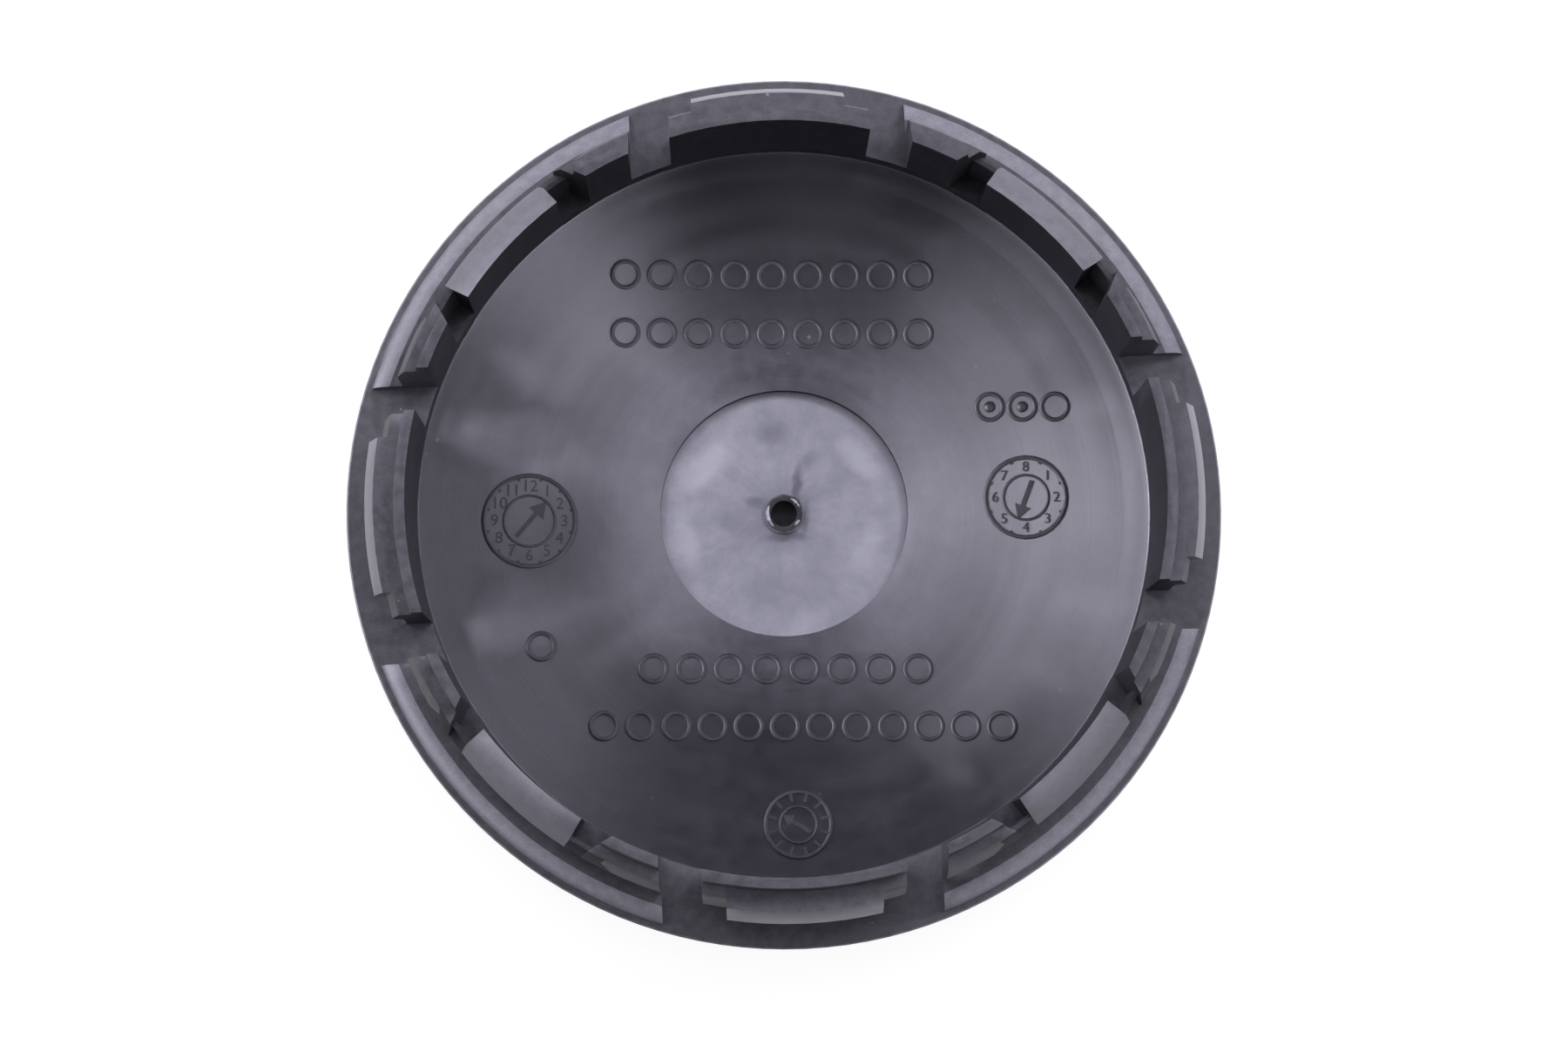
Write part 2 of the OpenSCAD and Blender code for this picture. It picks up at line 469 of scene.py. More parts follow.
@dataclass(frozen=True)
class NylonFinish:
    """A plain moulded surface of the nylon.

    Attributes:
        name: Name of the material.
        base: Mean grey of the surface.
        spread: Share by which the grain changes the grey.
        roughness: Mean roughness.
        specular: Specular level.
        dust: Share of the surface's cells that hold a speck of dust.
        haze: Change of the roughness with the grain.
        grain_depth: Depth of the grain in metres.
    """

    name: str
    base: float
    spread: float
    roughness: float
    specular: float = 0.5
    dust: float = 0.03
    haze: float = 0.06
    grain_depth: float = 0.000009

    def material(self, effects: SurfaceEffects) -> Material:
        """Builds the material.

        Args:
            effects: The shared node groups.

        Returns:
            The new material.
        """
        material, sheet = new_material(self.name)
        place = sheet.add("ShaderNodeTexCoord").outputs["Object"]
        grain = sheet.use(effects.grain, {"Place": place})
        specks = sheet.use(effects.dust, {"Place": place, "Amount": self.dust})["Mask"]
        low, high = self.base * (1 - self.spread), self.base * (1 + self.spread)
        colour = sheet.blend(grain["Tone"], grey(low), grey(high))
        smooth, rough = self.roughness - self.haze, self.roughness + self.haze
        sheet.skin({
            "Base Color": sheet.blend(sheet.math("MULTIPLY", specks, 0.5), colour, DUST),
            "Roughness": sheet.ramp(grain["Tone"], 0.0, 1.0, smooth, rough),
            "Specular IOR Level": self.specular,
            "Specular Tint": COOL_LIGHT_TINT,
            "Normal": sheet.bump(grain["Height"], self.grain_depth),
        })
        return material


@dataclass(frozen=True)
class TurnedFinish:
    """The disc's back, with the circles of the turned mould and a sheen that fans out from the axis.

    Attributes:
        name: Name of the material.
        base: Mean grey near the pad, midway and near the walls.
        radii: The three radii that the greys stand for, in metres.
        spread: Share by which the grain changes the grey.
        roughness: Mean roughness near the pad, from the last of the radii on, and beside the walls.
        band: Radii between which the roughness beside the walls sets in, in metres.
        waves: Change of the roughness with the circles and the mottle.
        anisotropy: How much the sheen follows the circles.
        anisotropy_turn: Turn of the sheen from along the circles to across them, in whole turns.
        specular: Specular level.
        ior: Index of refraction.
        pitch: Mean distance between the circles, in metres.
        ring_depth: Depth of the circles in metres.
        grain_scale: Scale of the grain, in waves per metre.
        dust: Share of the surface's cells that hold a speck of dust.
        smudges: Smudges in millimetres and degrees, each with the roughness that it adds or takes.
    """

    name: str = "turned nylon"
    base: tuple[float, float, float] = (0.045, 0.018, 0.025)
    radii: tuple[float, float, float] = (0.01, 0.0145, 0.021)
    spread: float = 0.3
    roughness: tuple[float, float, float] = (0.64, 0.43, 0.44)
    band: tuple[float, float] = (0.0201, 0.0213)
    waves: float = 0.07
    anisotropy: float = 0.95
    anisotropy_turn: float = 0.25
    specular: float = 1.0
    ior: float = 2.0
    pitch: float = 0.00022
    ring_depth: float = 0.000005
    grain_scale: float = 7000.0
    dust: float = 0.02
    smudges: Sequence[Blot] = (
        (-18.4, 4.8, 2.4, 4.6, -12.0, 0.42),
        (-17.4, -6.4, 3.6, 3.4, 10.0, 0.38),
        (3.0, 17.5, 1.8, 7.0, 0.0, 0.12),
        (-9.0, 10.5, 2.0, 4.5, 35.0, -0.1),
        (-12.4, -5.0, 4.0, 2.6, 25.0, 0.12),
        (18.2, -1.0, 6.0, 1.0, 0.0, 0.05),
    )

    def gloss(self, effects: SurfaceEffects, sheet: NodeSheet, place: Socket, rings: Outputs) -> Socket:
        """Adds the roughness.

        Args:
            effects: The shared node groups.
            sheet: The material's nodes.
            place: Where on the piece a point is.
            rings: Outputs of the turned circles.

        Returns:
            The roughness.
        """
        mottle = sheet.use(effects.mottle, {"Place": place, "Scale": 220.0, "Contrast": 0.25})["Mask"]
        change = sheet.ramp(sheet.total(rings["Tone"], 0.5, mottle, 0.5), 0.0, 1.0, -self.waves, self.waves)
        inner, middle, outer = self.roughness
        mean = sheet.ramp(rings["Radius"], self.radii[0], self.radii[2], inner, middle)
        beside = sheet.ramp(rings["Radius"], *self.band, 0.0, outer - middle)
        roughness = sheet.math("ADD", sheet.math("ADD", mean, beside), change)
        for mask, strength in effects.masks(sheet, place, self.smudges):
            roughness = sheet.math("MULTIPLY_ADD", mask, strength, roughness)
        return roughness

    def material(self, effects: SurfaceEffects) -> Material:
        """Builds the material.

        Args:
            effects: The shared node groups.

        Returns:
            The new material.
        """
        material, sheet = new_material(self.name)
        place = sheet.add("ShaderNodeTexCoord").outputs["Object"]
        rings = sheet.use(effects.rings, {"Place": place, "Pitch": self.pitch})
        grain = sheet.use(effects.grain, {"Place": place, "Scale": self.grain_scale})
        specks = sheet.use(effects.dust, {"Place": place, "Amount": self.dust})["Mask"]
        inner, middle, outer = (
            sheet.blend(grain["Tone"], grey(base * (1 - self.spread), 1.3), grey(base * (1 + self.spread), 1.3))
            for base in self.base
        )
        colour = sheet.blend(sheet.ramp(rings["Radius"], *self.radii[:2]), inner, middle)
        colour = sheet.blend(sheet.ramp(rings["Radius"], *self.radii[1:]), colour, outer)
        relief = sheet.math("MULTIPLY_ADD", grain["Height"], 0.9, rings["Height"])
        sheet.skin({
            "Base Color": sheet.blend(sheet.math("MULTIPLY", specks, 0.35), colour, DUST),
            "Roughness": self.gloss(effects, sheet, place, rings),
            "Specular IOR Level": self.specular,
            "Specular Tint": COOL_LIGHT_TINT,
            "IOR": self.ior,
            "Anisotropic": self.anisotropy,
            "Anisotropic Rotation": self.anisotropy_turn,
            "Tangent": sheet.add("ShaderNodeTangent", direction_type="RADIAL", axis="Z").outputs[0],
            "Normal": sheet.bump(relief, self.ring_depth),
        })
        return material


@dataclass(frozen=True)
class PadFinish:
    """The gate pad: paler, hazy and mottled by the flow of the plastic.

    Attributes:
        name: Name of the material.
        pale: Grey of the haze.
        dark: Grey between the haze.
        roughness: Mean roughness.
        haze: Change of the roughness with the mottle.
        specular: Specular level.
        grain_depth: Depth of the grain in metres.
        shaded: Radii round the gate between which the haze sets in, in metres.
        torn_shade_r: Radius round the gate within which the collar is torn and darkened as painted shade of the
            hole, in metres.
        torn_shade_edge: Share of that radius over which it fades.
        blots: Blots in millimetres and degrees; a negative strength is a pale blot. Two dark ones, below and
            right
        of the collar, are painted shade.
    """

    name: str = "gate pad haze"
    pale: float = 0.26
    dark: float = 0.12
    roughness: float = 0.5
    haze: float = 0.08
    specular: float = 0.85
    grain_depth: float = 0.000006
    shaded: tuple[float, float] = (0.0011, 0.0032)
    torn_shade_r: float = 0.0014
    torn_shade_edge: float = 0.07
    blots: Sequence[Blot] = (
        (0.85, 1.9, 1.4, 0.34, 2.0, 0.7),
        (1.5, 3.5, 1.0, 0.55, 35.0, 0.35),
        (-1.8, 0.75, 0.45, 0.8, 0.0, 0.5),
        # Painted shade: the next two dark blots, below and right of the collar.
        (0.15, -1.5, 0.42, 1.5, 0.0, 0.75),
        (1.25, -0.2, 1.4, 0.35, 0.0, 0.6),
        (-0.8, 5.3, 0.8, 1.2, 0.0, 0.4),
        (-3.4, -0.6, 0.9, 1.6, 20.0, 0.3),
        (0.5, -5.2, 1.6, 4.2, 0.0, 0.22),
        (2.5, -2.5, 2.2, 1.2, 30.0, 0.18),
        (-4.9, 3.2, 2.6, 1.1, 40.0, -0.5),
        (4.9, 3.6, 2.2, 0.9, -40.0, -0.4),
        (5.4, -2.2, 2.2, 0.9, 25.0, -0.25),
        (-6.2, -2.0, 2.2, 0.8, -15.0, -0.3),
    )

    def material(self, effects: SurfaceEffects) -> Material:
        """Builds the material.

        Args:
            effects: The shared node groups.

        Returns:
            The new material.
        """
        material, sheet = new_material(self.name)
        place = sheet.add("ShaderNodeTexCoord").outputs["Object"]
        grain = sheet.use(effects.grain, {"Place": place, "Scale": 6000.0})
        mottle = sheet.use(effects.mottle, {"Place": place, "Scale": 420.0, "Contrast": 0.17})["Mask"]
        radius = sheet.use(effects.rings, {"Place": place})["Radius"]
        dark, pale = grey(self.dark, 1.3), grey(self.pale)
        near_gate = sheet.ramp(radius, *self.shaded, 0.35, 1.0)
        shade = sheet.math("MULTIPLY", sheet.math("MULTIPLY_ADD", mottle, 0.6, 0.4), near_gate)
        colour = sheet.blend(shade, dark, pale)
        colour = sheet.blend(sheet.math("MULTIPLY", grain["Tone"], 0.3), colour, dark)
        for mask, strength in effects.masks(sheet, place, self.blots):
            shade = sheet.math("MULTIPLY", mask, abs(strength))
            colour = sheet.blend(shade, colour, grey(0.035, 1.5) if strength > 0 else grey(0.42, 1.2))
        # Round the hole the collar goes near black: its torn edge, and painted shade that widens the dark of
        # the hole.
        rim = sheet.math("MULTIPLY_ADD", sheet.noise(place, 1500.0), 0.0003, radius)
        torn = sheet.ramp(rim, self.torn_shade_r * (1 - self.torn_shade_edge), self.torn_shade_r * (1 + self.torn_shade_edge))
        sheet.skin({
            "Base Color": sheet.blend(torn, grey(0.008, 1.0), colour),
            "Roughness": sheet.ramp(mottle, 0.0, 1.0, self.roughness + self.haze, self.roughness - self.haze),
            "Specular IOR Level": self.specular,
            "Specular Tint": COOL_LIGHT_TINT,
            "Normal": sheet.bump(grain["Height"], self.grain_depth),
        })
        return material


REGION_FINISHES: dict[Region, NylonFinish | TurnedFinish | PadFinish] = {
    Region.WALLS: NylonFinish("wall nylon", base=0.06, spread=0.25, roughness=0.45),
    Region.DISC: TurnedFinish(),
    Region.PAD: PadFinish(),
    Region.FRONT: NylonFinish("front nylon", base=0.04, spread=0.15, roughness=0.35),
    # Lead-ins: rubbed pale, and paler still as painted sheen of the white surroundings on the steep chamfers.
    Region.LEAD_IN: NylonFinish("rubbed nylon with painted sheen", base=0.19, spread=0.2, roughness=0.42, specular=0.7),
    Region.SLOPE: NylonFinish("slope nylon", base=0.06, spread=0.22, roughness=0.5, specular=0.3),
    # Seats: paler than the nylon itself, as painted sheen of the bright surroundings on their shoulders.
    Region.SEAT: NylonFinish("seat nylon with painted sheen", base=0.155, spread=0.25, roughness=0.6, specular=1.0),
    # Recesses: darker and with little sheen, as painted shade in the notches and on faces that look inwards.
    Region.RECESS: NylonFinish("recess nylon with painted shade", base=0.042, spread=0.3, roughness=0.6, specular=0.08, dust=0.01),
    # Gate hole: near black, as painted shade inside the hole.
    Region.GATE: NylonFinish("gate hole nylon with painted shade", base=0.012, spread=0.5, roughness=0.6, specular=0.2, dust=0.0),
    # Block tops: paler than the nylon itself, as painted sheen.
    Region.BLOCK: NylonFinish("block nylon with painted sheen", base=0.115, spread=0.25, roughness=0.6, specular=1.0),
}
MARK_FINISH = NylonFinish("mark nylon", base=0.022, spread=0.2, roughness=0.5, specular=0.8, dust=0.0)
TORN_FINISH = NylonFinish("torn nylon", base=0.34, spread=0.2, roughness=0.4, dust=0.0)


# Mesh helpers


def new_object(name: str, mesh: Mesh, materials: Iterable[Material]) -> Object:
    """Makes an object at the origin from a mesh.

    Args:
        name: Name of the object.
        mesh: Its mesh, in place.
        materials: Its materials, in the order of their indices.

    Returns:
        The new object, linked to the scene.
    """
    mesh.name = name
    for material in materials:
        if material.name not in mesh.materials:
            mesh.materials.append(material)
    piece = bpy.data.objects.new(name, mesh)
    bpy.context.scene.collection.objects.link(piece)
    return piece


def evaluated_mesh(piece: Object) -> Mesh:
    """Plain mesh of an object as its modifiers and curves leave it."""
    depsgraph = bpy.context.evaluated_depsgraph_get()
    return bpy.data.meshes.new_from_object(piece.evaluated_get(depsgraph))


def lay_on_dish(mesh: Mesh, sizes: CapSizes) -> None:
    """Lifts a flat mesh that lies at height 0 onto the dished back of the disc.

    Args:
        mesh: The mesh.
        sizes: Sizes of the cap.
    """
    for vertex in mesh.vertices:
        r = math.hypot(vertex.co.x, vertex.co.y) / MM
        vertex.co.z += sizes.dish_z(r) * MM
    mesh.update()


def mesh_from(name: str, work: BMesh) -> Mesh:
    """Turns a worked mesh into a new one, and frees it.

    Args:
        name: Name of the new mesh.
        work: The worked mesh.

    Returns:
        The new mesh.
    """
    mesh = bpy.data.meshes.new(name)
    work.to_mesh(mesh)
    work.free()
    return mesh


def joined(name: str, parts: Sequence[tuple[Mesh, Matrix]]) -> Mesh:
    """Joins meshes into one and removes them.

    Args:
        name: Name of the new mesh.
        parts: Each mesh with the matrix that places it.

    Returns:
        The new mesh, its doubles merged and its faces outwards.
    """
    work = bmesh.new()
    for mesh, matrix in parts:
        mesh.transform(matrix)
        work.from_mesh(mesh)
        bpy.data.meshes.remove(mesh)
    bmesh.ops.remove_doubles(work, verts=work.verts, dist=0.0002 * MM)
    bmesh.ops.recalc_face_normals(work, faces=work.faces)
    return mesh_from(name, work)


# The moulding


@dataclass
class Moulding:
    """The cap's moulding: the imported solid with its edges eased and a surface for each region.

    Lengths are in millimetres and angles in degrees.

    Attributes:
        sizes: Sizes of the cap.
        edge_w: Width of the eased edges.
        edge_angle: Angle from which an edge is eased.
        merge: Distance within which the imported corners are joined.
        flat_angle: Angle within which packed triangles are one face.
        level: Share of a face's direction that points up, from which it lies level.
        upright: Share of a face's direction that points up, or outwards, below which it doesn't face there.
        slack: Distance by which a face may miss a radius or height.
        fit: The closer slack of the outer skin.
        notch_slack: Degrees by which the upright faces of a notch may stand outside it.
        seat_h: Height above the flange within which the raised seats lie.
        hole_slack: Distance by which a face may reach out of the gate's hole.
        disc_drop: Depth under the flange below which the disc's back lies.
        lead_gap: Distance outside the ring of walls from which the barbs' lead-in begins.
    """

    sizes: CapSizes
    edge_w: float = 0.07
    edge_angle: float = 28.0
    merge: float = 0.001
    flat_angle: float = 0.05
    level: float = 0.8
    upright: float = 0.3
    slack: float = 0.1
    fit: float = 0.05
    notch_slack: float = 1.2
    seat_h: float = 1.0
    hole_slack: float = 0.02
    disc_drop: float = 0.5
    lead_gap: float = 0.06

    def region(self, centre: Vector, normal: Vector, reach: float) -> Region:
        """Region that a face belongs to.

        Args:
            centre: Middle of the face, in metres.
            normal: Its outward direction.
            reach: Distance of its farthest corner from the axis, in millimetres.

        Returns:
            The region.
        """
        s, slack, fit = self.sizes, self.slack, self.fit
        r, z = math.hypot(centre.x, centre.y) / MM, centre.z / MM
        outward = (normal.x * centre.x + normal.y * centre.y) / max(r * MM, 1e-9)
        if z < s.flange_z - fit and (normal.z < -fit or r > s.cap_r - fit):
            return Region.FRONT
        if reach < s.gate_r + self.hole_slack and normal.z > -0.5:
            return Region.GATE
        if reach < s.pad_r + slack and z < s.disc_t - slack:
            return Region.PAD if normal.z > self.level or reach < s.collar_r + slack else Region.RECESS
        on_disc = s.pad_r < r < s.inner_r - s.root_r / 2 and z < s.flange_z - self.disc_drop
        if on_disc and normal.z > self.level:
            return Region.DISC
        quarter = math.degrees(math.atan2(centre.y, centre.x)) % 90
        turn = min(quarter, 90 - quarter)
        half = s.notch_half + (self.notch_slack if abs(normal.z) < self.upright else 0.0)
        in_notch = abs(turn - s.notch_turn) < half and z < s.flange_z + s.notch_depth
        inside = abs(normal.z) < self.upright and outward < self.upright
        if s.inner_r - slack < r < s.spigot_r and (in_notch or inside):
            return Region.RECESS
        if r > s.spigot_r - slack and fit < z - s.flange_z < self.seat_h and normal.z > slack:
            return Region.SEAT
        if outward < self.upright or normal.z < slack:
            return Region.WALLS
        if r > s.spigot_r + self.lead_gap:
            return Region.LEAD_IN
        return Region.BLOCK if turn > s.notch_turn + s.notch_half else Region.SLOPE

    def build(self, materials: Iterable[Material]) -> Object:
        """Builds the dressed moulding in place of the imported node.

        Args:
            materials: One material for each region, in the order of their values.

        Returns:
            The new object.
        """
        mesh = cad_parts["cap"].data.copy()
        mesh.materials.clear()
        work = bmesh.new()
        work.from_mesh(mesh)
        bmesh.ops.remove_doubles(work, verts=work.verts, dist=self.merge * MM)
        flat = math.radians(self.flat_angle)
        bmesh.ops.dissolve_limit(work, angle_limit=flat, verts=work.verts, edges=work.edges)
        work.normal_update()
        for face in work.faces:
            face.smooth = True
            reach = max(math.hypot(vertex.co.x, vertex.co.y) for vertex in face.verts) / MM
            face.material_index = self.region(face.calc_center_median(), face.normal, reach).value
        work.to_mesh(mesh)
        work.free()
        piece = new_object("dressed_cap", mesh, materials)
        bevel = piece.modifiers.new("eased edges", "BEVEL")
        bevel.width = self.edge_w * MM
        bevel.segments = 2
        bevel.limit_method = "ANGLE"
        bevel.angle_limit = math.radians(self.edge_angle)
        bevel.harden_normals = True
        bevel.use_clamp_overlap = True
        eased = evaluated_mesh(piece)
        piece.modifiers.clear()
        piece.data = eased
        return piece


@dataclass
class GateLip:
    """Torn crescents that stand round the hole of the gate. Lengths are in millimetres.

    Attributes:
        sizes: Sizes of the cap.
        tears: For each crescent its clock angle and half span in degrees, height and width.
        steps: Steps along each crescent.
        off: Distance of its ends from the hole.
        foot: Depth of its foot below the collar's top.
        fullness: Power that its swell from the ends is raised to; a lower one is fuller.
        ragged: Share by which its crest is ragged.
        waves: Turn of the ragged crest's wave from end to end, in radians.
        lean: How far its crest leans outwards, as a multiple.
    """

    sizes: CapSizes
    tears: Sequence[tuple[float, float, float, float]] = (
        (258.0, 42.0, 0.3, 0.2),
        (46.0, 24.0, 0.34, 0.12),
        (126.0, 14.0, 0.2, 0.12),
    )
    steps: int = 14
    off: float = 0.2
    foot: float = 0.12
    fullness: float = 0.7
    ragged: float = 0.18
    waves: float = 21.0
    lean: float = 1.03

    def crescent(self, work: BMesh, tear: tuple[float, float, float, float]) -> None:
        """Adds one crescent to a mesh.

        Args:
            work: The mesh that it is added to.
            tear: Its clock angle, half span, height and width.
        """
        angle, half, height, width = tear
        hole_r = self.sizes.gate_r
        rings = []
        for i in range(self.steps + 1):
            share = i / self.steps
            swell = math.sin(math.pi * share) ** self.fullness
            way = VIEW.clock(angle - half + 2 * half * share)
            ragged = 1 + self.ragged * math.sin(share * self.waves + angle)
            outer = way * (hole_r + self.off + 0.04 + width * (0.2 + 0.8 * swell)) * MM
            inner = way * (hole_r + self.off - 0.1 * swell) * MM
            crest = (outer * 0.35 + inner * 0.65) * self.lean
            foot_z = (self.sizes.collar_z - self.foot) * MM
            top_z = (self.sizes.collar_z + height * swell * ragged) * MM
            corners = ((outer, foot_z), (crest, top_z), (inner, top_z - 0.05 * MM), (inner, foot_z))
            rings.append([work.verts.new((spot.x, spot.y, z)) for spot, z in corners])
        for first, second in zip(rings, rings[1:]):
            for a, b in ((0, 1), (1, 2), (2, 3), (3, 0)):
                work.faces.new((first[a], first[b], second[b], second[a]))
        work.faces.new(rings[0][::-1])
        work.faces.new(rings[-1])

    def build(self, material: Material) -> Object:
        """Builds the crescents as one object.

        Args:
            material: Their material.

        Returns:
            The new object.
        """
        work = bmesh.new()
        for tear in self.tears:
            self.crescent(work, tear)
        bmesh.ops.recalc_face_normals(work, faces=work.faces)
        for face in work.faces:
            face.smooth = True
        return new_object("gate_tears", mesh_from("gate_tears", work), [material])


# Moulded marks on the disc


@dataclass
class MarkPen:
    """What all the marks share, in millimetres.

    Attributes:
        raised: Height of a mark above the disc.
        sunk: Depth of its foot below the disc.
        line_w: Width of a line.
    """

    raised: float = 0.05
    sunk: float = 0.06
    line_w: float = 0.28

    @property
    def height(self) -> float:
        """Full height of a mark, foot included."""
        return self.raised + self.sunk

    @property
    def middle(self) -> float:
        """Height of a mark's middle above the disc."""
        return (self.raised - self.sunk) / 2


class MarkTree:
    """A Geometry Nodes tree that repeats one mark."""

    def __init__(self, name: str, *sizes: str) -> None:
        """Makes the empty tree.

        Args:
            name: Name of the tree.
            sizes: Names of its inputs for sizes, beside the height.
        """
        ends = {"Height": FLOAT, "Material": "NodeSocketMaterial"}
        inputs = {"Count": "NodeSocketInt", **dict.fromkeys(sizes, FLOAT), **ends}
        result = {"Geometry": "NodeSocketGeometry"}
        self.group, self.sheet, self.given, self.made = new_group(name, "GeometryNodeTree", inputs, result)

    def repeat(self, inputs: Inputs) -> None:
        """Ends the tree: a mark on each point, made real and coated.

        Args:
            inputs: The points, the mark and its turn.
        """
        marks = self.sheet.add("GeometryNodeInstanceOnPoints", inputs)
        plain = self.sheet.add("GeometryNodeRealizeInstances", {0: marks.outputs[0]})
        coat = {"Geometry": plain.outputs[0], "Material": self.given["Material"]}
        self.sheet.feed(self.made, {0: self.sheet.add("GeometryNodeSetMaterial", coat).outputs[0]})

    def grow(self, count: int, material: Material, *sizes: float) -> Mesh:
        """Runs the tree once.

        Args:
            count: How many marks it makes.
            material: Their material.
            sizes: Its inputs for sizes in their order, the height last, in millimetres.

        Returns:
            The plain mesh that the tree makes.
        """
        values = [count, *(size * MM for size in sizes), material]
        carrier = new_object("carrier", bpy.data.meshes.new("carrier"), [])
        modifier = carrier.modifiers.new("tree", "NODES")
        modifier.node_group = self.group
        inputs = [item for item in self.group.interface.items_tree if item.in_out == "INPUT"]
        for item, value in zip(inputs, values, strict=True):
            modifier[item.identifier] = value
        mesh = evaluated_mesh(carrier)
        bpy.data.objects.remove(carrier)
        return mesh


class TickTree(MarkTree):
    """Short bars round a circle."""

    def __init__(self) -> None:
        """Builds the tree."""
        super().__init__("dial ticks", "Radius", "Length", "Width")
        sheet, given = self.sheet, self.given
        circle = sheet.add("GeometryNodeMeshCircle", {"Vertices": given["Count"], "Radius": given["Radius"]})
        size = sheet.add("ShaderNodeCombineXYZ", {0: given["Length"], 1: given["Width"], 2: given["Height"]})
        bar = sheet.add("GeometryNodeMeshCube", {"Size": size.outputs[0]})
        outwards = {"Vector": sheet.add("GeometryNodeInputPosition").outputs[0]}
        turn = sheet.add("FunctionNodeAlignRotationToVector", outwards, axis="X", pivot_axis="Z")
        self.repeat({"Points": circle.outputs[0], "Instance": bar.outputs[0], "Rotation": turn.outputs[0]})


class RingRowTree(MarkTree):
    """A row of small rings."""

    def __init__(self) -> None:
        """Builds the tree."""
        super().__init__("ring row", "Row Length", "Ring Radius", "Line Width")
        sheet, given = self.sheet, self.given
        half = sheet.math("MULTIPLY", given["Row Length"], 0.5)
        start = sheet.add("ShaderNodeCombineXYZ", {0: sheet.math("MULTIPLY", half, -1.0)})
        end = sheet.add("ShaderNodeCombineXYZ", {0: half})
        line = {"Count": given["Count"], "Start Location": start.outputs[0], "Offset": end.outputs[0]}
        row = sheet.add("GeometryNodeMeshLine", line, mode="END_POINTS")
        loop = sheet.add("GeometryNodeCurvePrimitiveCircle", {"Resolution": 28, "Radius": given["Ring Radius"]})
        size = {0: given["Line Width"], 1: given["Height"]}
        section = sheet.add("GeometryNodeCurvePrimitiveQuadrilateral", size)
        edge = {"Curve": loop.outputs[0], "Profile Curve": section.outputs[0]}
        ring = sheet.add("GeometryNodeCurveToMesh", edge)
        self.repeat({"Points": row.outputs[0], "Instance": ring.outputs[0]})


@dataclass
class Dial:
    """A plain moulding dial: a ring with ticks, numbers and an arrow.

    Lengths are in millimetres, and shares are of the ring's radius.

    Attributes:
        name: Name of the object.
        centre: Place of its middle to the right of and above the axis in the picture.
        radius: Radius of its ring.
        numbers: How many numbers it has, or 0 for none.
        ticks: How many ticks it has.
        arrow_clock: Direction of its arrow, clockwise from the top, in degrees.
        pen: Line width and height of its marks.
        inner: Share for the radius of the inner ring and the length of the arrow.
        number_r: Share for the radius of the ring of numbers.
        number_h: Share for the height of the numbers.
        wing: Share for half the width of the arrow's head.
        tick: Share for the length of a tick beside numbers.
        bare_tick: Share for the length of a tick where there are no numbers.
    """

    name: str
    centre: tuple[float, float]
    radius: float
    numbers: int
    ticks: int
    arrow_clock: float
    pen: MarkPen = field(default_factory=MarkPen)
    inner: float = 0.56
    number_r: float = 0.76
    number_h: float = 0.36
    wing: float = 0.2
    tick: float = 0.1
    bare_tick: float = 0.3

    def arrow(self) -> Mesh:
        """Builds the arrow through the middle of the dial, pointing up.

        Returns:
            Its mesh.
        """
        w, tip, wing = self.pen.line_w / 2, self.radius * self.inner, self.radius * self.wing
        neck, tail = tip - wing * 1.7, -tip * 0.8
        outline = [(0, tip), (wing, neck), (w, neck), (w, tail), (-w, tail), (-w, neck), (-wing, neck)]
        low_z, high_z = (self.pen.middle + side * self.pen.height / 2 for side in (-1, 1))
        work = bmesh.new()
        low = [work.verts.new((x * MM, y * MM, low_z * MM)) for x, y in outline]
        high = [work.verts.new((x * MM, y * MM, high_z * MM)) for x, y in outline]
        work.faces.new(low)
        work.faces.new(high[::-1])
        for i in range(len(low)):
            j = (i + 1) % len(low)
            work.faces.new((low[i], high[i], high[j], low[j]))
        return mesh_from("arrow", work)

    def number(self, text: str) -> Mesh:
        """Builds a raised number, centred on the origin.

        Args:
            text: The number.

        Returns:
            Its mesh.
        """
        curve = bpy.data.curves.new("number", "FONT")
        curve.body = text
        curve.size = self.radius * self.number_h * MM
        curve.align_x, curve.align_y = "CENTER", "CENTER"
        curve.extrude = self.pen.height / 2 * MM
        curve.resolution_u = 3
        writer = bpy.data.objects.new("number", curve)
        bpy.context.scene.collection.objects.link(writer)
        mesh = evaluated_mesh(writer)
        bpy.data.objects.remove(writer)
        bpy.data.curves.remove(curve)
        return mesh

    def build(self, ticks: TickTree, rows: RingRowTree, material: Material, sizes: CapSizes) -> Object:
        """Builds the dial on the disc.

        Args:
            ticks: The tree that makes its ticks.
            rows: The tree that makes its rings.
            material: Its material.
            sizes: Sizes of the cap.

        Returns:
            The new object.
        """
        pen, middle = self.pen, Matrix.Translation((0, 0, self.pen.middle * MM))
        parts: list[tuple[Mesh, Matrix]] = []
        for radius, line_w in ((self.radius, pen.line_w), (self.radius * self.inner, pen.line_w * 0.6)):
            parts.append((rows.grow(1, material, 0.0, radius, line_w, pen.height), middle))
        length = self.radius * (self.tick if self.numbers else self.bare_tick)
        bars = ticks.grow(self.ticks, material, self.radius - length / 2, length, pen.line_w * 0.7, pen.height)
        half_step = Matrix.Rotation(math.pi / self.ticks, 4, "Z")
        parts.append((bars, half_step @ middle))
        for i in range(self.numbers):
            turn = 2 * math.pi * (i + 1) / self.numbers
            spot = Vector((math.sin(turn), math.cos(turn), 0)) * self.radius * self.number_r * MM
            parts.append((self.number(str(i + 1)), Matrix.Translation(spot) @ middle))
        parts.append((self.arrow(), Matrix.Rotation(-math.radians(self.arrow_clock), 4, "Z")))
        mesh = joined(self.name, parts)
        mesh.transform(Matrix.Translation(VIEW.place(*self.centre) * MM) @ VIEW.turn())
        lay_on_dish(mesh, sizes)
        return new_object(self.name, mesh, [material])


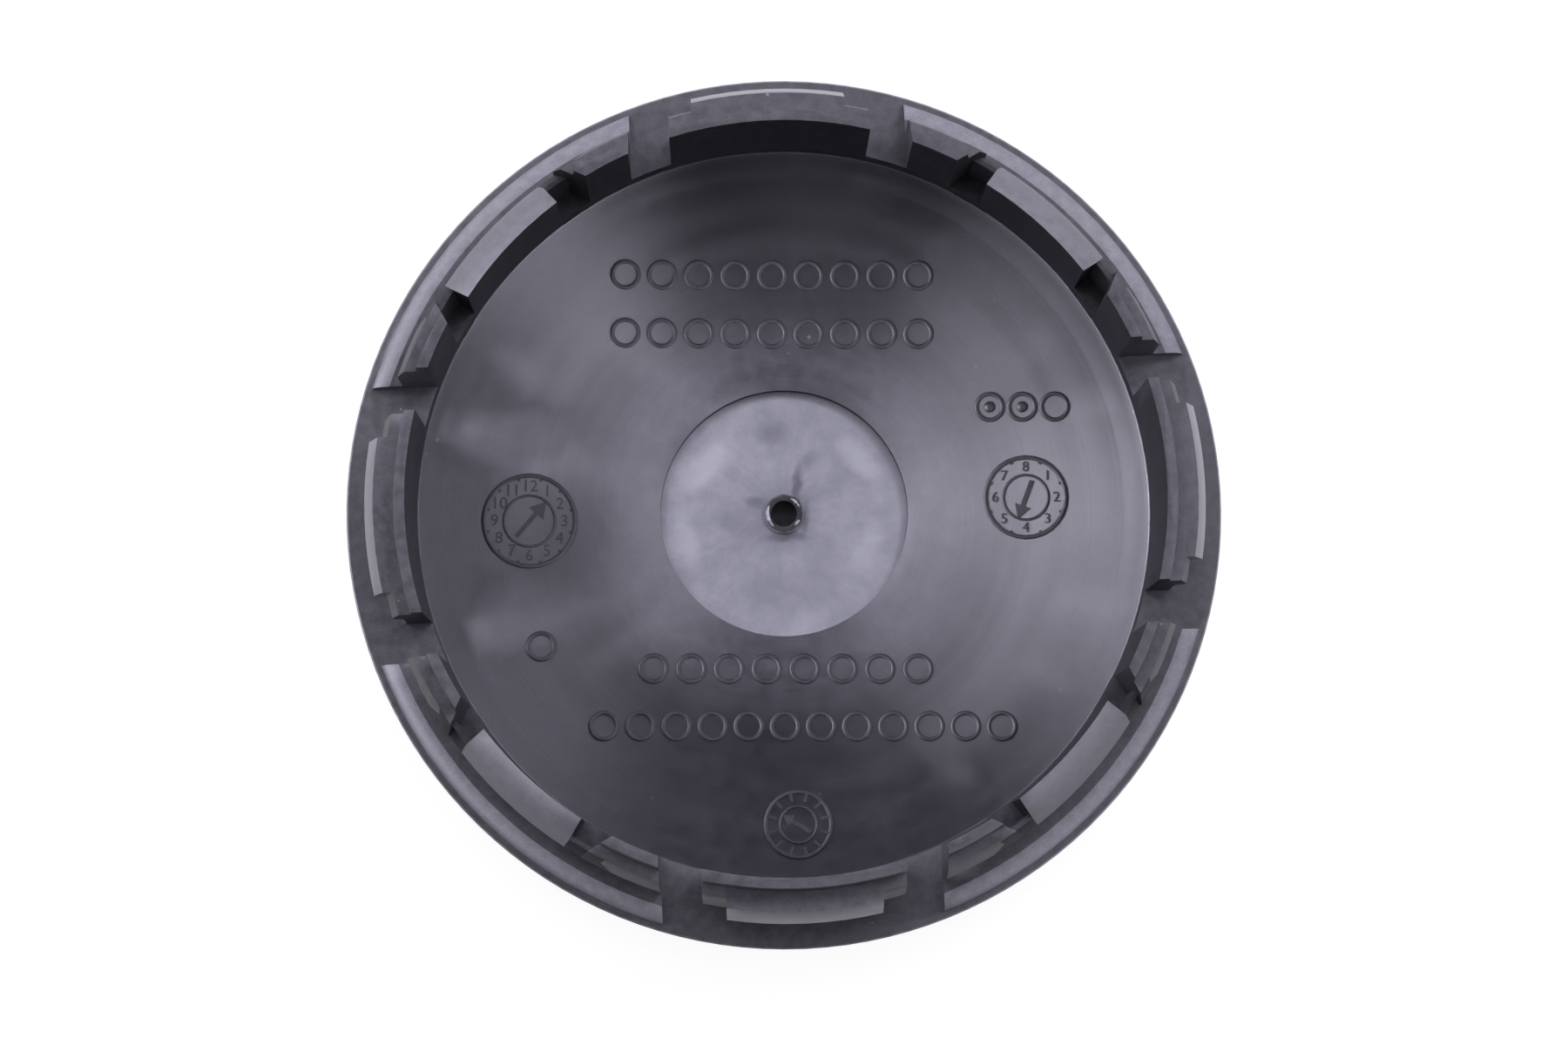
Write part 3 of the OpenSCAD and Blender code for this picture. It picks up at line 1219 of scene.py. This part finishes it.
@dataclass
class CounterRow:
    """A row of small raised rings, where a mould counts its runs. Lengths are in millimetres.

    Attributes:
        name: Name of the object.
        centre: Place of its middle to the right of and above the axis in the picture.
        length: Length of the row.
        count: How many rings it has.
        filled: How many of its rings, from the left, have a dot in the middle.
        ring_r: Radius of a ring.
        dot_r: Radius of a dot.
        pen: Line width and height of its marks.
    """

    name: str
    centre: tuple[float, float]
    length: float
    count: int
    filled: int = 0
    ring_r: float = 0.85
    dot_r: float = 0.36
    pen: MarkPen = field(default_factory=MarkPen)

    def build(self, rows: RingRowTree, material: Material, sizes: CapSizes) -> Object:
        """Builds the row on the disc.

        Args:
            rows: The tree that makes the rings.
            material: Their material.
            sizes: Sizes of the cap.

        Returns:
            The new object.
        """
        lift = Vector((0, 0, self.pen.middle * MM))
        dots_length = self.length / max(self.count - 1, 1) * max(self.filled - 1, 0)
        dots_right = self.centre[0] - (self.length - dots_length) / 2
        parts = []
        for count, length, right, radius, line_w in (
            (self.count, self.length, self.centre[0], self.ring_r, self.pen.line_w),
            (self.filled, dots_length, dots_right, self.dot_r / 2, self.dot_r),
        ):
            if count:
                rings = rows.grow(count, material, length, radius, line_w, self.pen.height)
                spot = VIEW.place(right, self.centre[1]) * MM + lift
                parts.append((rings, Matrix.Translation(spot) @ VIEW.turn()))
        mesh = joined(self.name, parts)
        lay_on_dish(mesh, sizes)
        return new_object(self.name, mesh, [material])


DIALS = (
    Dial("month_dial", (-16.4, -0.6), 2.95, 12, 12, 40.0),
    Dial("shift_dial", (15.6, 1.0), 2.6, 8, 8, 200.0),
    Dial("arrow_dial", (0.9, -20.1), 2.1, 0, 12, 300.0),
)
COUNTERS = (
    CounterRow("upper_counter", (-0.8, 15.5), 19.0, 9),
    CounterRow("upper_counter_2", (-0.8, 11.7), 19.0, 9),
    CounterRow("side_counter", (15.4, 6.9), 4.2, 3, 2),
    CounterRow("lower_counter", (0.1, -10.1), 17.0, 8),
    CounterRow("lower_counter_2", (1.2, -13.8), 25.5, 12),
    CounterRow("cavity_ring", (-15.6, -8.7), 0.0, 1),
)


# The studio


class Row(Enum):
    """A row of lights: its name, its elevation in degrees, and each light's width and height in metres."""

    HIGH = ("high", 55.0, 0.14, 0.12)
    MIDDLE = ("middle", 33.0, 0.18, 0.1)
    LOW = ("low", 16.0, 0.2, 0.08)
    TOP_WIDE = ("top", 52.0, 0.3, 0.1)
    TOP = ("top", 46.0, 0.2, 0.1)
    OVERHEAD = ("overhead", 82.0, 0.2, 0.2)


class Gives(Enum):
    """What a light gives: whether sheen, and whether plain light."""

    BOTH = (True, True)
    SHEEN = (True, False)
    PLAIN = (False, True)


@dataclass(frozen=True)
class Softbox:
    """A rectangular soft light that points at the cap.

    Attributes:
        row: The row that it stands in.
        clock: Direction that it stands in, clockwise from the top of the picture, in degrees.
        power: Its power in watts.
        gives: What it gives.
        distance: Its distance from the cap, in metres.
    """

    row: Row
    clock: float
    power: float
    gives: Gives = Gives.BOTH
    distance: float = 0.5

    def build(self) -> Object:
        """Builds the light.

        Returns:
            The lamp, linked to the scene.
        """
        label, elevation, width, height = self.row.value
        name = f"{label} light at {self.clock:.0f}"
        light = bpy.data.lights.new(name, "AREA")
        light.shape = "RECTANGLE"
        light.size, light.size_y = width, height
        light.energy = self.power
        lamp = bpy.data.objects.new(name, light)
        rise = math.radians(elevation)
        away = VIEW.clock(self.clock) * math.cos(rise) + Vector((0, 0, math.sin(rise)))
        lamp.location = away * self.distance
        lamp.rotation_euler = away.to_track_quat("Z", "Y").to_euler()
        lamp.visible_camera = False
        lamp.visible_glossy, lamp.visible_diffuse = self.gives.value
        bpy.context.scene.collection.objects.link(lamp)
        return lamp


@dataclass
class Studio:
    """White table, soft lights and the camera.

    The disc's back is dished, so a light gives its sheen on the far side of the axis.

    Attributes:
        table_half: Half the width of the table, in metres.
        table_grey: Colour of the table under the lamps.
        table_glow: Light that the table adds where it is seen as the background.
        sky_top: Strength of the surroundings straight above.
        sky_side: Strength of the surroundings at the level of the table.
        boxes: The lights.
    """

    table_half: float = 1.5
    table_grey: float = 0.08
    table_glow: float = 0.945
    sky_top: float = 0.0
    sky_side: float = 0.1
    boxes: Sequence[Softbox] = (
        Softbox(Row.HIGH, 40.0, 0.13),
        Softbox(Row.HIGH, 68.0, 0.08),
        Softbox(Row.HIGH, 98.0, 0.09),
        Softbox(Row.HIGH, 126.0, 0.34, Gives.SHEEN),
        Softbox(Row.HIGH, 302.0, 0.36),
        Softbox(Row.MIDDLE, 58.0, 0.08),
        Softbox(Row.MIDDLE, 80.0, 0.24),
        Softbox(Row.MIDDLE, 102.0, 0.12, Gives.SHEEN),
        Softbox(Row.MIDDLE, 128.0, 0.34, Gives.SHEEN),
        Softbox(Row.MIDDLE, 148.0, 0.12, Gives.SHEEN),
        Softbox(Row.MIDDLE, 184.0, 0.14, Gives.SHEEN),
        Softbox(Row.MIDDLE, 228.0, 0.55, Gives.SHEEN),
        Softbox(Row.MIDDLE, 248.0, 0.75, Gives.SHEEN),
        Softbox(Row.MIDDLE, 270.0, 1.25, Gives.SHEEN),
        Softbox(Row.MIDDLE, 290.0, 0.85, Gives.SHEEN),
        Softbox(Row.LOW, 45.0, 0.3),
        Softbox(Row.LOW, 135.0, 0.5, Gives.SHEEN),
        Softbox(Row.LOW, 270.0, 1.1, Gives.SHEEN),
        Softbox(Row.LOW, 315.0, 0.45),
        Softbox(Row.TOP_WIDE, 0.0, 0.8, Gives.PLAIN),
        Softbox(Row.TOP, 318.0, 0.6, Gives.PLAIN),
        Softbox(Row.TOP, 48.0, 1.08, Gives.PLAIN),
        Softbox(Row.OVERHEAD, 0.0, 0.45, Gives.PLAIN),
    )

    def floor(self) -> Object:
        """Builds the table top, which glows white only where it is seen as the background.

        Returns:
            The table top.
        """
        half = self.table_half
        mesh = bpy.data.meshes.new("table_top")
        corners = [(-half, -half, 0), (half, -half, 0), (half, half, 0), (-half, half, 0)]
        mesh.from_pydata(corners, [], [(0, 1, 2, 3)])
        material, sheet = new_material("white table")
        path = sheet.add("ShaderNodeLightPath").outputs
        mirrored = sheet.math("MAXIMUM", path["Is Glossy Ray"], path["Is Transmission Ray"])
        seen = sheet.math("MAXIMUM", path["Is Camera Ray"], mirrored)
        sheet.skin({
            "Base Color": (self.table_grey, self.table_grey, self.table_grey, 1.0),
            "Roughness": 0.9,
            "Specular IOR Level": 0.1,
            "Emission Color": WHITE,
            "Emission Strength": sheet.math("MULTIPLY", seen, self.table_glow),
        })
        table = new_object("table_top", mesh, [material])
        return table

    def sky(self) -> None:
        """Builds the surroundings, brighter at the sides than above and white to the camera."""
        world = bpy.data.worlds.new("studio surroundings")
        bpy.context.scene.world = world
        world.use_nodes = True
        sheet = NodeSheet(world.node_tree)
        place = sheet.add("ShaderNodeTexCoord").outputs["Generated"]
        rise = sheet.add("ShaderNodeSeparateXYZ", {0: place}).outputs[2]
        strength = sheet.ramp(rise, 0.0, 1.0, self.sky_side, self.sky_top)
        glow = sheet.add("ShaderNodeBackground", {"Color": (0.95, 0.97, 1.0, 1.0), "Strength": strength})
        white = sheet.add("ShaderNodeBackground", {"Color": WHITE, "Strength": 1.0})
        camera = sheet.add("ShaderNodeLightPath").outputs["Is Camera Ray"]
        both = sheet.add("ShaderNodeMixShader", {0: camera, 1: glow.outputs[0], 2: white.outputs[0]})
        sheet.add("ShaderNodeOutputWorld", {"Surface": both.outputs[0]})

    def camera(self, view: PhotoView, sizes: CapSizes) -> Object:
        """Builds the camera.

        Args:
            view: How the photograph was taken.
            sizes: Sizes of the cap.

        Returns:
            The camera, set as the scene's.
        """
        lens = bpy.data.cameras.new("camera")
        lens.lens, lens.sensor_width = view.lens, view.sensor
        lens.clip_start, lens.clip_end = view.clip
        viewer = bpy.data.objects.new("camera", lens)
        bpy.context.scene.collection.objects.link(viewer)
        level = Vector((0, 0, sizes.flange_z * MM))
        eye = level + view.place(-view.left, -view.below) * MM + Vector((0, 0, view.height * MM))
        aim = level + view.place(view.aim_right, -view.aim_down) * MM
        back = (eye - aim).normalized()
        side = view.clock(0.0).cross(back).normalized()
        turn = Matrix((side, back.cross(side), back)).transposed()
        viewer.matrix_world = Matrix.Translation(eye) @ turn.to_4x4()
        bpy.context.scene.camera = viewer
        return viewer

    def build(self, view: PhotoView, sizes: CapSizes) -> None:
        """Builds the table, the surroundings, the lights and the camera.

        Args:
            view: How the photograph was taken.
            sizes: Sizes of the cap.
        """
        self.floor()
        self.sky()
        for box in self.boxes:
            box.build()
        self.camera(view, sizes)
        bpy.context.scene.view_settings.view_transform = "Standard"


def attach(piece: Object) -> None:
    """Lets a piece ride on the cap's body, and reports it.

    Args:
        piece: The piece.
    """
    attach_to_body(piece, BODY)
    log.info("%s: %d faces", piece.name, len(piece.data.polygons))


def main() -> None:
    """Builds the dressed cap and its studio."""
    logging.basicConfig(level=logging.INFO, format="%(name)s: %(message)s")
    effects = SurfaceEffects()
    cap = Moulding(SIZES).build([REGION_FINISHES[region].material(effects) for region in Region])
    attach(cap)
    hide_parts("cap")
    attach(GateLip(SIZES).build(TORN_FINISH.material(effects)))

    marks = MARK_FINISH.material(effects)
    ticks, rows = TickTree(), RingRowTree()
    for dial in DIALS:
        attach(dial.build(ticks, rows, marks, SIZES))
    for counter in COUNTERS:
        attach(counter.build(rows, marks, SIZES))

    Studio().build(VIEW, SIZES)


if __name__ == "__main__":
    main()
